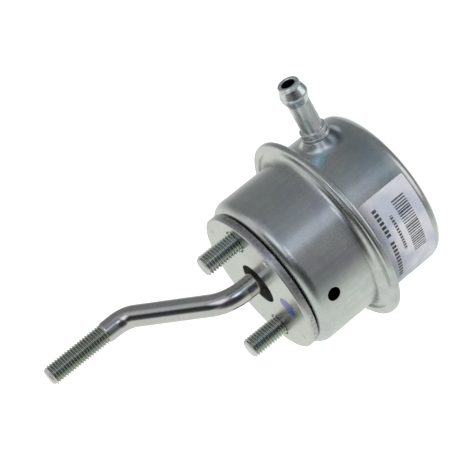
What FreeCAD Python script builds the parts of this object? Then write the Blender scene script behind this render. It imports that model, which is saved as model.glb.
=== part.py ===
import FreeCAD, Part
import math
import os
from FreeCAD import Vector

# Wastegate actuator, in millimetres.
# The origin is the centre of the mounting plate's outer face. +Z runs along the rod and out of
# the plate, +X towards the hose nipple, and +Y towards the side that the rod's end is set over to.

# Corners nearer than this to each other are one point
same_point = 1e-6

# Threads and their fasteners
thread_d = 6.85
stud_reach = 12.7
stud_spacing = 35.0
stud_shank_d = 7.3
stud_end_chamfer = 0.7
stud_head_d = 9.0
stud_head_t = 2.0
stud_head_round = 0.6
stud_hole_play = 0.05
stud_relief_d = 8.0
stud_relief_depth = 0.5

# Mounting plate
plate_d = 49.0
plate_t = 2.8
plate_edge_round = 0.4
plate_hole_d = 14.2
weld_count = 4
weld_circle_d = 42.4
weld_dimple_d = 2.2
weld_dimple_depth = 0.45
weld_gap = 0.35
weld_nugget_d = 3.2

# Paint spot on the plate
mark_d = 7.4
mark_t = 0.06
mark_circle_d = 30.2
mark_angle = -100.6

# Front can
front_can_d = 53.3
front_wall = 0.8
front_corner = 3.8
front_depth = 23.5
front_flange_round = 2.6
front_hole_d = 13.0
vent_d = 4.5
vent_below_plate = 10.7
vent_angle = -91.75

# Rolled joint between the cans
rim_d = 65.5
rim_lip_w = 2.6
rim_corner = 0.95
flange_edge_play = 0.3

# Rear can
rear_can_d = 54.3
rear_wall = 0.7
rear_corner = 2.8
rear_depth = 22.55
rear_flange_round = 1.2

# Hose nipple and the boss that it stands on
nipple_below_plate = 39.0
nipple_lean = 2.9
nipple_tip_from_axis = 50.15
nipple_bore_d = 4.4
nipple_stem_d = 7.0
nipple_tip_d = 7.0
nipple_tip_length = 1.3
nipple_barb_d = 8.8
barb_rise = 2.5
barb_land = 0.7
barb_fall = 2.7
collar_d = 8.6
collar_t = 1.3
collar_neck_d = 7.6
collar_neck_t = 0.45
washer_d = 9.3
washer_t = 1.25
boss_base_d = 12.6
boss_top_d = 9.0
boss_rise = 2.55
spigot_d = 6.2
spigot_play = 0.05
spigot_past_wall = 0.7
swage_d = 7.6
nipple_edge_round = 0.25
barb_foot_round = 0.5
barb_round = 1.0
washer_edge_round = 0.3

# Label
label_t = 0.12
label_from_flange = 0.6
label_from_end = 0.2
label_start_angle = -156.0
label_sweep = 99.9

# Spring seat and rod guide
seat_t = 0.8
seat_wall_play = 0.15
seat_rim = 2.0
seat_corner = 1.4
seat_hole_d = 18.6
seal_d = 17.2
seal_t = 1.0
bush_d = 15.0
bush_length = 8.0
bush_edge = 0.3
running_play = 0.06
housing_t = 0.8
housing_brim_d = 24.0
housing_lip_d = 10.2
housing_round = 1.0
housing_play = 0.04

# Rod
rod_d = 7.1
rod_off_axis = Vector(0.8, 0.65, 0)
rod_set_over = 30.75
bend_1_height = 10.9
bend_2_height = 34.1
bend_1_radius = 13.0
bend_2_radius = 8.5
rod_tip_height = 64.7
rod_thread_start = 41.8
rod_thread_runout = 0.5
rod_end_chamfer = 1.0
rod_end_chamfer_angle = 35.0
rivet_spigot_d = 4.6
rivet_head_d = 9.0
rivet_head_t = 1.3
rivet_head_round = 0.5
rivet_end_play = 0.3

# Piston stack, moved by the rod
travel = 12.0
travel_end_play = 0.5
piston_d = 44.6
piston_t = 1.0
piston_corner = 3.4
diaphragm_t = 0.5
diaphragm_clamped_t = 0.3
diaphragm_play = 0.3
diaphragm_crown_above_joint = 2.6
diaphragm_fold = 0.7
retainer_d = 40.0
retainer_t = 1.0
retainer_rim = 2.2
retainer_corner = 1.8
rivet_washer_d = 14.0
rivet_washer_t = 1.0
piston_washer_d = 16.0
piston_washer_t = 1.2

# Return spring
spring_wire_d = 2.6
spring_mean_d = 34.0
spring_half_turns = 13
spring_closed_halves = 2
spring_end_play = 0.05


def radius(diameter):
    return diameter / 2.0


def polar(distance, angle):
    turn = math.radians(angle)
    return distance * math.cos(turn), distance * math.sin(turn)


def section_wire(corners):
    """Closed outline in the XZ plane. A corner is (r, z, rounding radius)."""
    points = [Vector(r, 0, z) for r, z, _ in corners]
    ends = []
    arcs = []
    for i, (_, _, rounding) in enumerate(corners):
        here = points[i]
        back = (points[i - 1] - here).normalize()
        ahead = (points[(i + 1) % len(points)] - here).normalize()
        if rounding <= 0:
            ends.append((here, here))
            arcs.append(None)
            continue
        half = back.getAngle(ahead) / 2
        reach = rounding / math.tan(half)
        first = here + back * reach
        last = here + ahead * reach
        middle_way = (back + ahead).normalize()
        middle = here + middle_way * (rounding / math.sin(half) - rounding)
        ends.append((first, last))
        arcs.append(Part.Arc(first, middle, last).toShape())
    edges = []
    for i, arc in enumerate(arcs):
        if arc:
            edges.append(arc)
        leave = ends[i][1]
        arrive = ends[(i + 1) % len(ends)][0]
        if (arrive - leave).Length > same_point:
            edges.append(Part.LineSegment(leave, arrive).toShape())
    return Part.Wire(Part.__sortEdges__(edges))


def turned(corners, sweep=360.0):
    """Solid of revolution about Z."""
    face = Part.Face(section_wire(corners))
    return face.revolve(Vector(0, 0, 0), Vector(0, 0, 1), sweep)


def offset_path(path, distance):
    """Path moved sideways to its left by distance, with its rounding radii carried along."""
    moved = []
    for i, (r, z, rounding) in enumerate(path):
        normals = []
        for a, b in ((i - 1, i), (i, i + 1)):
            if a >= 0 and b < len(path):
                dr = path[b][0] - path[a][0]
                dz = path[b][1] - path[a][1]
                length = math.hypot(dr, dz)
                normals.append((-dz / length, dr / length))
        first, last = normals[0], normals[-1]
        spread = 1 + first[0] * last[0] + first[1] * last[1]
        step_r = distance * (first[0] + last[0]) / spread
        step_z = distance * (first[1] + last[1]) / spread
        turn_left = first[0] * last[1] - first[1] * last[0]
        new_rounding = 0.0
        if rounding > 0:
            new_rounding = max(rounding - distance * math.copysign(1, turn_left), 0.0)
        moved.append((r + step_r, z + step_z, new_rounding))
    return moved


def sheet(path, thickness):
    """Turned sheet-metal shell. The wall lies to the left of the path when thickness > 0."""
    return turned(path + offset_path(path, thickness)[::-1])


def rod_piece(diameter, low, high, x=0.0, y=0.0):
    return Part.makeCylinder(radius(diameter), high - low, Vector(x, y, low))


def facing_x(shape, height, lean):
    """Turns a shape that was made about Z so that its Z runs along +X, leaning up, at this height."""
    shape = shape.copy()
    shape.rotate(Vector(0, 0, 0), Vector(0, 1, 0), 90 - lean)
    shape.translate(Vector(0, 0, height))
    return shape


# Levels along the axis
plate_back = -plate_t
can_front = plate_back - weld_gap
can_inside = can_front - front_wall
joint_front = can_front - front_depth
front_flange_front = joint_front - rear_wall
front_flange_back = front_flange_front - front_wall
rear_flange_front = front_flange_back - diaphragm_clamped_t
rear_flange_back = rear_flange_front - rear_wall
rear_end = rear_flange_back - rear_depth
rear_inside = rear_end + rear_wall
nipple_z = -nipple_below_plate - radius(rear_can_d) * math.tan(math.radians(nipple_lean))
vent_z = -vent_below_plate
head_back = can_inside - stud_head_t
seat_back = head_back - seat_t
seal_back = can_inside - seal_t
bush_back = seal_back - bush_length
housing_back = bush_back - housing_t
rivet_low = rear_inside + rivet_end_play
washer_low = rivet_low + rivet_head_t
retainer_low = washer_low + rivet_washer_t
diaphragm_low = retainer_low + retainer_t
piston_low = diaphragm_low + diaphragm_t
piston_floor = piston_low + piston_t
rod_shoulder = piston_floor + piston_washer_t
piston_rim = seat_back - travel - travel_end_play

# Radii that fits and seats share
front_r = radius(front_can_d)
rear_r = radius(rear_can_d)
rim_r = radius(rim_d)
boss_face = rear_r + boss_rise
stud_x = stud_spacing / 2
stud_hole_d = stud_shank_d + 2 * stud_hole_play
front_inside_r = front_r - front_wall
diaphragm_rim_r = rim_r - rear_wall - flange_edge_play
weld_r = radius(weld_circle_d)
weld_angles = [360.0 / weld_count * (i + 0.5) for i in range(weld_count)]


def stud_hole(low, high, side, diameter):
    return rod_piece(diameter, low, high, side * stud_x)


def mounting_plate():
    edge = plate_edge_round
    disc = turned([
        (radius(plate_hole_d), plate_back, 0),
        (radius(plate_d), plate_back, edge / 2),
        (radius(plate_d), 0, edge),
        (radius(plate_hole_d), 0, edge / 2),
    ])
    for angle in weld_angles:
        x, y = polar(weld_r, angle)
        nugget = rod_piece(weld_nugget_d, can_front, plate_back, x, y)
        disc = disc.fuse(nugget)
        dimple = Part.makeCone(
            0, radius(weld_dimple_d), weld_dimple_depth, Vector(x, y, -weld_dimple_depth))
        disc = disc.cut(dimple)
    for side in (-1, 1):
        disc = disc.cut(stud_hole(plate_back, 0, side, stud_hole_d))
        disc = disc.cut(stud_hole(-stud_relief_depth, 0, side, stud_relief_d))
    return disc.removeSplitter()


def mounting_stud(side):
    """Stud with its head inside the front can, and a thicker shank in the plate's hole."""
    stud = turned([
        (0, head_back, 0),
        (radius(stud_head_d), head_back, stud_head_round),
        (radius(stud_head_d), can_inside, 0),
        (radius(stud_shank_d), can_inside, 0),
        (radius(stud_shank_d), 0, 0),
        (radius(thread_d), 0, 0),
        (radius(thread_d), stud_reach - stud_end_chamfer, 0),
        (radius(thread_d) - stud_end_chamfer, stud_reach, 0),
        (0, stud_reach, 0),
    ])
    stud.translate(Vector(side * stud_x, 0, 0))
    return stud


def front_can():
    shell = sheet([
        (radius(front_hole_d), can_front, 0),
        (front_r, can_front, front_corner),
        (front_r, front_flange_front, front_flange_round),
        (diaphragm_rim_r, front_flange_front, 0),
    ], -front_wall)
    for side in (-1, 1):
        shell = shell.cut(stud_hole(can_inside, can_front, side, stud_hole_d))
    vent = Part.makeCylinder(radius(vent_d), front_r, Vector(0, 0, 0), Vector(1, 0, 0))
    vent.rotate(Vector(0, 0, 0), Vector(0, 0, 1), vent_angle)
    vent.translate(Vector(0, 0, vent_z))
    return shell.cut(vent)


def rear_can():
    """Rear cup, its edge rolled over the front can's flange, with a drawn boss."""
    shell = sheet([
        (0, rear_end, 0),
        (rear_r, rear_end, rear_corner),
        (rear_r, rear_flange_back, rear_flange_round),
        (rim_r, rear_flange_back, rim_corner),
        (rim_r, joint_front, rim_corner),
        (rim_r - rim_lip_w, joint_front, 0),
    ], rear_wall)
    flare = radius(boss_base_d - boss_top_d) / boss_rise
    boss_low = math.sqrt((rear_r - rear_wall) ** 2 - radius(boss_base_d) ** 2) - rear_wall
    cones = []
    for top_r, high in (
        (radius(boss_top_d), boss_face),
        (radius(boss_top_d) - rear_wall, boss_face - rear_wall),
    ):
        rise = high - boss_low
        cones.append(Part.makeCone(top_r + flare * rise, top_r, rise, Vector(0, 0, boss_low)))
    outer, inner = cones
    hole = rod_piece(spigot_d + 2 * spigot_play, boss_low, boss_face)
    cavity = turned([
        (0, rear_inside, 0),
        (rear_r - rear_wall, rear_inside, rear_corner - rear_wall),
        (rear_r - rear_wall, rear_flange_back, 0),
        (0, rear_flange_back, 0),
    ])
    boss = facing_x(outer, nipple_z, nipple_lean).cut(cavity)
    shell = shell.fuse(boss)
    for hollow in (inner, hole):
        shell = shell.cut(facing_x(hollow, nipple_z, nipple_lean))
    return shell.removeSplitter()


# Levels along the nipple, measured out from the cans' axis
washer_face = boss_face + washer_t
neck_face = washer_face + collar_neck_t
collar_face = neck_face + collar_t
barb_high = nipple_tip_from_axis - nipple_tip_length
barb_low = barb_high - barb_rise - barb_land - barb_fall
land_low = barb_low + barb_fall
land_high = land_low + barb_land
spigot_low = boss_face - rear_wall - spigot_past_wall


def hose_nipple():
    """Turned nipple, swaged over behind the top of the boss."""
    edge = nipple_edge_round
    bore = radius(nipple_bore_d)
    swage_high = boss_face - rear_wall
    body = turned([
        (bore, spigot_low, 0),
        (radius(spigot_d), spigot_low, 0),
        (radius(swage_d), spigot_low + (swage_high - spigot_low) / 2, 0),
        (radius(swage_d), swage_high, 0),
        (radius(spigot_d), swage_high, 0),
        (radius(spigot_d), washer_face, 0),
        (radius(collar_neck_d), washer_face, 0),
        (radius(collar_neck_d), neck_face, 0),
        (radius(collar_d), neck_face, edge),
        (radius(collar_d), collar_face, edge),
        (radius(nipple_stem_d), collar_face, edge),
        (radius(nipple_stem_d), barb_low, barb_foot_round),
        (radius(nipple_barb_d), land_low, barb_round),
        (radius(nipple_barb_d), land_high, barb_round),
        (radius(nipple_tip_d), barb_high, barb_foot_round),
        (radius(nipple_tip_d), nipple_tip_from_axis - edge, 0),
        (radius(nipple_tip_d) - edge, nipple_tip_from_axis, 0),
        (bore + edge, nipple_tip_from_axis, 0),
        (bore, nipple_tip_from_axis - edge, 0),
    ])
    return facing_x(body, nipple_z, nipple_lean)


def nipple_washer():
    edge = washer_edge_round
    ring = turned([
        (radius(spigot_d) + spigot_play, boss_face, 0),
        (radius(washer_d), boss_face, edge),
        (radius(washer_d), washer_face, edge),
        (radius(spigot_d) + spigot_play, washer_face, 0),
    ])
    return facing_x(ring, nipple_z, nipple_lean)


def label():
    low = rear_end + rear_corner + label_from_end
    high = rear_flange_back - rear_flange_round - label_from_flange
    patch = turned([
        (rear_r, low, 0),
        (rear_r + label_t, low, 0),
        (rear_r + label_t, high, 0),
        (rear_r, high, 0),
    ], label_sweep)
    patch.rotate(Vector(0, 0, 0), Vector(0, 0, 1), label_start_angle)
    return patch


def paint_mark():
    x, y = polar(radius(mark_circle_d), mark_angle)
    return rod_piece(mark_d, 0, mark_t, x, y)


def spring_seat():
    return sheet([
        (radius(seat_hole_d), head_back, 0),
        (front_inside_r - seat_wall_play, head_back, seat_corner),
        (front_inside_r - seat_wall_play, head_back - seat_rim, 0),
    ], -seat_t)


def rod_bore(low, high):
    """The hole that the rod runs in, off the can's axis as the rod is."""
    return rod_piece(rod_d + 2 * running_play, low, high, rod_off_axis.x, rod_off_axis.y)


def dust_seal():
    disc = rod_piece(seal_d, seal_back, can_inside)
    return disc.cut(rod_bore(seal_back, can_inside))


def guide_bush():
    body = turned([
        (0, bush_back, 0),
        (radius(bush_d), bush_back, bush_edge),
        (radius(bush_d), seal_back, bush_edge),
        (0, seal_back, 0),
    ])
    return body.cut(rod_bore(bush_back, seal_back))


def bush_housing():
    tube_r = radius(bush_d) + housing_play + housing_t
    brim_back = seat_back - housing_t
    return sheet([
        (radius(housing_lip_d), housing_back, 0),
        (tube_r, housing_back, housing_round),
        (tube_r, brim_back, housing_round / 2),
        (radius(housing_brim_d), brim_back, 0),
    ], housing_t)


def return_spring():
    """Coil of half turns, each a tilted arc, with a closed turn at both ends."""
    wire_r = radius(spring_wire_d)
    mean_r = radius(spring_mean_d)
    low = piston_floor + wire_r + spring_end_play
    high = seat_back - wire_r - spring_end_play
    closed_rise = (spring_wire_d + spring_end_play) / 2
    open_halves = spring_half_turns - 2 * spring_closed_halves
    open_rise = (high - low - 2 * spring_closed_halves * closed_rise) / open_halves
    start = Vector(mean_r, 0, low)
    halves = []
    for i in range(spring_half_turns):
        closed = min(i, spring_half_turns - 1 - i) < spring_closed_halves
        rise = Vector(0, 0, closed_rise if closed else open_rise)
        end = Vector(-start.x, 0, start.z) + rise
        centre = (start + end) / 2
        across = Vector(0, math.copysign(1, start.x), 0)
        wire = Part.Face(Part.Wire(Part.makeCircle(wire_r, start, across)))
        halves.append(wire.revolve(centre, (start - centre).cross(across), 180))
        start = end
    return halves[0].fuse(halves[1:]).removeSplitter()


def piston():
    return sheet([
        (radius(rivet_spigot_d) + spigot_play, piston_low, 0),
        (radius(piston_d), piston_low, piston_corner),
        (radius(piston_d), piston_rim, 0),
    ], piston_t)


def diaphragm():
    """Moulded rolling diaphragm: a cup on the piston, a fold, and a rim held in the joint."""
    inner_r = radius(piston_d) + diaphragm_play + diaphragm_t
    outer_r = front_inside_r - diaphragm_play
    crown = front_flange_back + diaphragm_crown_above_joint
    cup = sheet([
        (radius(rivet_spigot_d) + spigot_play, diaphragm_low, 0),
        (inner_r, diaphragm_low, piston_corner + diaphragm_play + diaphragm_t),
        (inner_r, crown, diaphragm_fold),
        (outer_r, crown, diaphragm_fold + diaphragm_t),
        (outer_r, rear_flange_front, diaphragm_fold),
        (diaphragm_rim_r, rear_flange_front, 0),
    ], diaphragm_t)
    squeezed = turned([
        (front_inside_r, front_flange_back, 0),
        (rim_r, front_flange_back, 0),
        (rim_r, crown, 0),
        (front_inside_r, crown, 0),
    ])
    return cup.cut(squeezed)


def diaphragm_retainer():
    return sheet([
        (radius(retainer_d), retainer_low + retainer_t - retainer_rim, 0),
        (radius(retainer_d), retainer_low + retainer_t, retainer_corner),
        (radius(rivet_spigot_d) + spigot_play, retainer_low + retainer_t, 0),
    ], retainer_t)


def rivet_washer():
    return turned([
        (radius(rivet_spigot_d) + spigot_play, washer_low, 0),
        (radius(rivet_washer_d), washer_low, washer_edge_round),
        (radius(rivet_washer_d), retainer_low, washer_edge_round),
        (radius(rivet_spigot_d) + spigot_play, retainer_low, 0),
    ])


def piston_washer():
    return turned([
        (radius(rivet_spigot_d) + spigot_play, piston_floor, 0),
        (radius(piston_washer_d), piston_floor, washer_edge_round),
        (radius(piston_washer_d), rod_shoulder, washer_edge_round),
        (radius(rivet_spigot_d) + spigot_play, rod_shoulder, 0),
    ])


def rod_path():
    """Centre line of the plain stretch: straight, dogleg, straight, with two tangent arcs."""
    up = Vector(0, 0, 1)
    low_corner = rod_off_axis + up * bend_1_height
    high_corner = Vector(0, rod_set_over, bend_2_height)
    along = (high_corner - low_corner).normalize()
    slope = along.getAngle(up)
    corners = (
        (low_corner, up, along, bend_1_radius),
        (high_corner, along, up, bend_2_radius),
    )
    edges = []
    start = rod_off_axis + up * rod_shoulder
    for corner, before, after, bend in corners:
        reach = bend * math.tan(slope / 2)
        first = corner - before * reach
        last = corner + after * reach
        middle = corner + (after - before).normalize() * (bend / math.cos(slope / 2) - bend)
        edges.append(Part.LineSegment(start, first).toShape())
        edges.append(Part.Arc(first, middle, last).toShape())
        start = last
    edges.append(Part.LineSegment(start, Vector(0, rod_set_over, rod_thread_start)).toShape())
    return Part.Wire(edges)


def actuator_rod():
    path = rod_path()
    circle = Part.makeCircle(radius(rod_d), rod_off_axis + Vector(0, 0, rod_shoulder), Vector(0, 0, 1))
    shank = path.makePipeShell([Part.Wire(circle)], True, False)
    chamfer_r = radius(thread_d) - rod_end_chamfer * math.tan(math.radians(rod_end_chamfer_angle))
    end = turned([
        (0, rod_thread_start, 0),
        (radius(rod_d), rod_thread_start, 0),
        (radius(thread_d), rod_thread_start + rod_thread_runout, 0),
        (radius(thread_d), rod_tip_height - rod_end_chamfer, 0),
        (chamfer_r, rod_tip_height, 0),
        (0, rod_tip_height, 0),
    ])
    end.translate(Vector(0, rod_set_over, 0))
    rivet = turned([
        (0, rivet_low, 0),
        (radius(rivet_head_d), rivet_low, rivet_head_round),
        (radius(rivet_head_d), washer_low, 0),
        (radius(rivet_spigot_d), washer_low, 0),
        (radius(rivet_spigot_d), rod_shoulder, 0),
        (0, rod_shoulder, 0),
    ])
    return shank.fuse([end, rivet]).removeSplitter()


nodes = {
    "mounting_plate": mounting_plate(),
    "mounting_stud_nipple_side": mounting_stud(1),
    "mounting_stud_far_side": mounting_stud(-1),
    "paint_mark": paint_mark(),
    "front_can": front_can(),
    "rear_can": rear_can(),
    "nipple_washer": nipple_washer(),
    "hose_nipple": hose_nipple(),
    "label": label(),
    "spring_seat": spring_seat(),
    "dust_seal": dust_seal(),
    "guide_bush": guide_bush(),
    "bush_housing": bush_housing(),
    "return_spring": return_spring(),
    "piston": piston(),
    "piston_washer": piston_washer(),
    "diaphragm": diaphragm(),
    "diaphragm_retainer": diaphragm_retainer(),
    "rivet_washer": rivet_washer(),
    "actuator_rod": actuator_rod(),
}

os.makedirs("parts", exist_ok=True)
for name, shape in nodes.items():
    solids = len(shape.Solids)
    print(f"{name}: solids {solids}, valid {shape.isValid()}, volume {shape.Volume:.1f}")
    shape.exportStep(f"parts/{name}.step")
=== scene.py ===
"""Looks of a turbocharger's wastegate actuator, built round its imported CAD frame.

The classes hold lengths in millimetres. They become metres where a mesh or a node tree is made.
+Z runs along the rod, +X towards the hose nipple, and the mounting plate's face is at z 0.
"""

import logging
import math
from collections.abc import Callable, Iterable, Sequence
from dataclasses import dataclass
from enum import Enum

import bmesh
import bpy
from mathutils import Matrix, Vector


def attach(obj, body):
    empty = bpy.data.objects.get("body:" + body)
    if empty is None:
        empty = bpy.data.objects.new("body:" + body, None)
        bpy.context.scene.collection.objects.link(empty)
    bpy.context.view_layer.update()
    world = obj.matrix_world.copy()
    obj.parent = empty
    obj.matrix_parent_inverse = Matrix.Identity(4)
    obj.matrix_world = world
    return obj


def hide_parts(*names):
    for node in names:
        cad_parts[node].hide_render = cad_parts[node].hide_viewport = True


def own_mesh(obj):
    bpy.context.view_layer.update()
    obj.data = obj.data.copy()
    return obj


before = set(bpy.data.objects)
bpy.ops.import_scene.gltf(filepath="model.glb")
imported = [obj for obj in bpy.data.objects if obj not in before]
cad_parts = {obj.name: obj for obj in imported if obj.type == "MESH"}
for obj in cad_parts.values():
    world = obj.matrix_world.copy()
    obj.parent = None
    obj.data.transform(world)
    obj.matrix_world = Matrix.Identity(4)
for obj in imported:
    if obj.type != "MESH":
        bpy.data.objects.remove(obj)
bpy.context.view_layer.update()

LOG = logging.getLogger("wastegate_actuator")
MM = 0.001
ROOT = "root"
Colour = tuple[float, float, float]
Point = tuple[float, float, float]
Pair = tuple[float, float]
Faces = list[list[int]]
Material = bpy.types.Material
Object = bpy.types.Object
Socket = bpy.types.NodeSocket
Tree = bpy.types.NodeTree


class Body(Enum):
    """The two bodies that the joint moves apart."""

    HOUSING = "housing"
    ROD = "rod"


class Slot(Enum):
    """The record's material slot names."""

    STUD = "stud_zinc"
    CAN = "can_zinc"
    ROD = "rod_zinc"
    MARK = "mark_paint"
    LABEL = "label_paper"
    SPRING = "spring_steel"
    DIAPHRAGM = "diaphragm_rubber"


class Grain(Enum):
    """How the tool that made a surface marked it."""

    DRAWN = "drawn along Z"
    ROLLED = "rolled sheet"
    TURNED = "turned about X"
    WIRE = "drawn wire"


def mm(value: float | Sequence[float]) -> float | tuple[float, ...]:
    """Turns a length or a place from millimetres into metres."""
    return value * MM if isinstance(value, float) else tuple(v * MM for v in value)


# Node trees ------------------------------------------------------------------------------------


class Value:
    """A node's output that formulas use like a number."""

    def __init__(self, nodes: "Nodes", socket: Socket) -> None:
        """Keeps the output and the writer of its tree."""
        self.nodes, self.socket = nodes, socket

    def __add__(self, other: object) -> "Value":
        """The sum."""
        return self.nodes.calc("ADD", self, other)

    def __sub__(self, other: object) -> "Value":
        """The difference."""
        return self.nodes.calc("SUBTRACT", self, other)

    def __mul__(self, other: object) -> "Value":
        """The product."""
        return self.nodes.calc("MULTIPLY", self, other)

    def __truediv__(self, other: object) -> "Value":
        """The quotient."""
        return self.nodes.calc("DIVIDE", self, other)


class Nodes:
    """Writes nodes into one tree."""

    def __init__(self, tree: Tree) -> None:
        """Takes the tree that gets the nodes."""
        self.tree = tree

    def feed(self, socket: Socket, value: object) -> None:
        """Links a value to an input, or sets it. A plain colour becomes opaque.

        Args:
            socket: The input.
            value: Another node's output, or a plain value.
        """
        if isinstance(value, Value):
            self.tree.links.new(value.socket, socket)
        else:
            socket.default_value = (*value, 1.0)[:4] if socket.type == "RGBA" else value

    def node(self, kind: str, inputs: dict[str | int, object], **settings: object) -> bpy.types.Node:
        """Adds a node.

        Args:
            kind: The node's type.
            inputs: Values by the input's name or number.
            settings: The node's own properties.

        Returns:
            The node.
        """
        node = self.tree.nodes.new(kind)
        for name, value in settings.items():
            setattr(node, name, value)
        for key, value in inputs.items():
            self.feed(node.inputs[key], value)
        return node

    def put(self, kind: str, inputs: dict[str | int, object], out: int | str = 0, **settings: object) -> Value:
        """Adds a node and gives the output that has this name or number."""
        return Value(self, self.node(kind, inputs, **settings).outputs[out])

    def outs(self, kind: str, inputs: dict[str | int, object], **settings: object) -> dict[str, Value]:
        """Adds a node and gives all its outputs by name."""
        return {out.name: Value(self, out) for out in self.node(kind, inputs, **settings).outputs}

    def calc(self, operation: str, *values: object) -> Value:
        """Adds a Math node."""
        return self.put("ShaderNodeMath", dict(enumerate(values)), operation=operation)

    def vector(self, operation: str, *values: object, out: int = 0) -> Value:
        """Adds a Vector Math node. Output 0 is the vector and 1 the number."""
        return self.put("ShaderNodeVectorMath", dict(enumerate(values)), out, operation=operation)

    def ramp(self, value: object, low: object, high: object, to_low: object = 0.0, to_high: object = 1.0,
             smooth: bool = True) -> Value:
        """Adds a Map Range node that is held at both ends.

        Args:
            value: What is mapped.
            low: The value that gives to_low.
            high: The value that gives to_high.
            to_low: The result at low.
            to_high: The result at high.
            smooth: Whether the change eases in and out.

        Returns:
            The result.
        """
        return self.put(
            "ShaderNodeMapRange",
            {"Value": value, "From Min": low, "From Max": high, "To Min": to_low, "To Max": to_high}, "Result",
            interpolation_type="SMOOTHSTEP" if smooth else "LINEAR")

    def blend(self, share: object, first: object, second: object, way: str = "MIX") -> Value:
        """Adds a colour Mix node."""
        return self.put("ShaderNodeMix", {0: share, 6: first, 7: second}, 2, data_type="RGBA", blend_type=way)

    def tinted(self, colour: Value, shade: Value) -> Value:
        """Multiplies a colour by a grey."""
        grey = self.put("ShaderNodeCombineColor", {0: shade, 1: shade, 2: shade})
        return self.blend(1.0, colour, grey, "MULTIPLY")

    def noise(self, where: Value, scale: object, detail: float = 2.0, roughness: float = 0.5,
              distortion: float = 0.0) -> Value:
        """Adds a Noise Texture node.

        Args:
            where: The coordinates.
            scale: Features to the metre.
            detail: Octaves.
            roughness: How strong the finer octaves are.
            distortion: How much it swirls.

        Returns:
            The noise, about 0.5 in the mean.
        """
        return self.put("ShaderNodeTexNoise", {
            "Vector": where, "Scale": scale, "Detail": detail, "Roughness": roughness,
            "Distortion": distortion}, "Fac")

    def mapped(self, where: Value, scale: Point, turn: Point = (0.0, 0.0, 0.0)) -> Value:
        """Turns and stretches coordinates."""
        return self.put("ShaderNodeMapping", {"Vector": where, "Rotation": turn, "Scale": scale})

    def axes(self, where: Value) -> tuple[Value, ...]:
        """Splits a vector into x, y and z."""
        return tuple(self.outs("ShaderNodeSeparateXYZ", {0: where}).values())

    def point(self, x: object, y: object, z: object) -> Value:
        """Joins x, y and z."""
        return self.put("ShaderNodeCombineXYZ", {0: x, 1: y, 2: z})

    def turned(self, reach: object, angle: Value, height: object) -> Value:
        """A place given by its distance and direction from the Z axis, and its height."""
        return self.point(self.calc("COSINE", angle) * reach, self.calc("SINE", angle) * reach, height)

    def distance(self, where: Value, place: Point) -> Value:
        """How far coordinates are from a place in millimetres."""
        return self.vector("DISTANCE", where, mm(place), out=1)


class GroupBuilder(Nodes):
    """Builds one shader node group."""

    kind: str = "ShaderNodeTree"

    def __init__(self, name: str) -> None:
        """Starts an empty group.

        Args:
            name: The group's name, in a maker's words.
        """
        super().__init__(bpy.data.node_groups.new(name, self.kind))
        self.source = self.tree.nodes.new("NodeGroupInput")
        self.sink = self.tree.nodes.new("NodeGroupOutput")

    def take(self, name: str, kind: str, value: float | Sequence[float] | None = None) -> Value:
        """Adds a named input.

        Args:
            name: The input's name.
            kind: Float, Color, Vector or another socket type.
            value: What it holds when nothing is set.

        Returns:
            What the input gives inside the group.
        """
        socket = self.tree.interface.new_socket(name, in_out="INPUT", socket_type=f"NodeSocket{kind}")
        if value is not None:
            socket.default_value = value
        return Value(self, self.source.outputs[name])

    def give(self, name: str, kind: str, value: Value) -> None:
        """Adds a named output that carries this value."""
        self.tree.interface.new_socket(name, in_out="OUTPUT", socket_type=f"NodeSocket{kind}")
        self.feed(self.sink.inputs[name], value)


def film_group() -> Tree:
    """A metal colour with clouds of thin passivation film in two tints.

    Returns:
        The group.
    """
    group = GroupBuilder("Passivation film")
    where = group.take("Position", "Vector")
    metal, first, second = [
        group.take(name, "Color", (0.6, 0.6, 0.6, 1.0)) for name in ("Metal", "First Tint", "Second Tint")]
    size = group.take("Clouds", "Float", 60.0)
    amount = group.take("Amount", "Float", 0.5)
    cloud = group.noise(where, size, 3.0, 0.55, 0.8)
    other = group.noise(group.vector("ADD", where, (0.31, 0.17, 0.23)), size * 1.7, 3.0, 0.5, 1.2)
    colour = group.blend(group.ramp(cloud, 0.42, 0.66) * amount, metal, first)
    colour = group.blend(group.ramp(other, 0.45, 0.7) * amount, colour, second)
    fleck = group.ramp(group.noise(where, size * 14.0, 2.0, 0.6), 0.35, 0.7, 0.0, 0.16)
    group.give("Colour", "Color", group.blend(fleck, colour, (1.0, 1.0, 1.0), "SOFT_LIGHT"))
    return group.tree


def marks_group() -> Tree:
    """Smudges, pits and hairline scratches: a roughness, and a height for a Bump node.

    Returns:
        The group.
    """
    group = GroupBuilder("Handling marks")
    where = group.take("Position", "Vector")
    rough = group.take("Roughness", "Float", 0.25)
    spread = group.take("Spread", "Float", 0.08)
    strength = group.take("Scratches", "Float", 0.3)
    smudge = group.noise(where, 110.0, 4.0, 0.6, 0.4)
    speck = group.noise(where, 1500.0, 2.0, 0.5)
    lines = [group.ramp(group.noise(group.mapped(where, (stretch, 2200.0, 2200.0), turn), 1.0, 1.0), 0.7, 0.78)
             for turn, stretch in (((0.4, 0.9, 0.3), 70.0), ((1.3, 0.2, 2.1), 90.0))]
    scratches = group.calc("MAXIMUM", *lines) * strength
    swing = (smudge - 0.5) * (spread * 2.4) + (speck - 0.5) * spread
    pits = group.ramp(speck, 0.72, 0.8) * -0.5
    group.give("Roughness", "Float", group.calc("MAXIMUM", rough + swing + scratches * 0.12, 0.04))
    group.give("Height", "Float", pits + smudge * 0.6 - scratches)
    return group.tree


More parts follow.
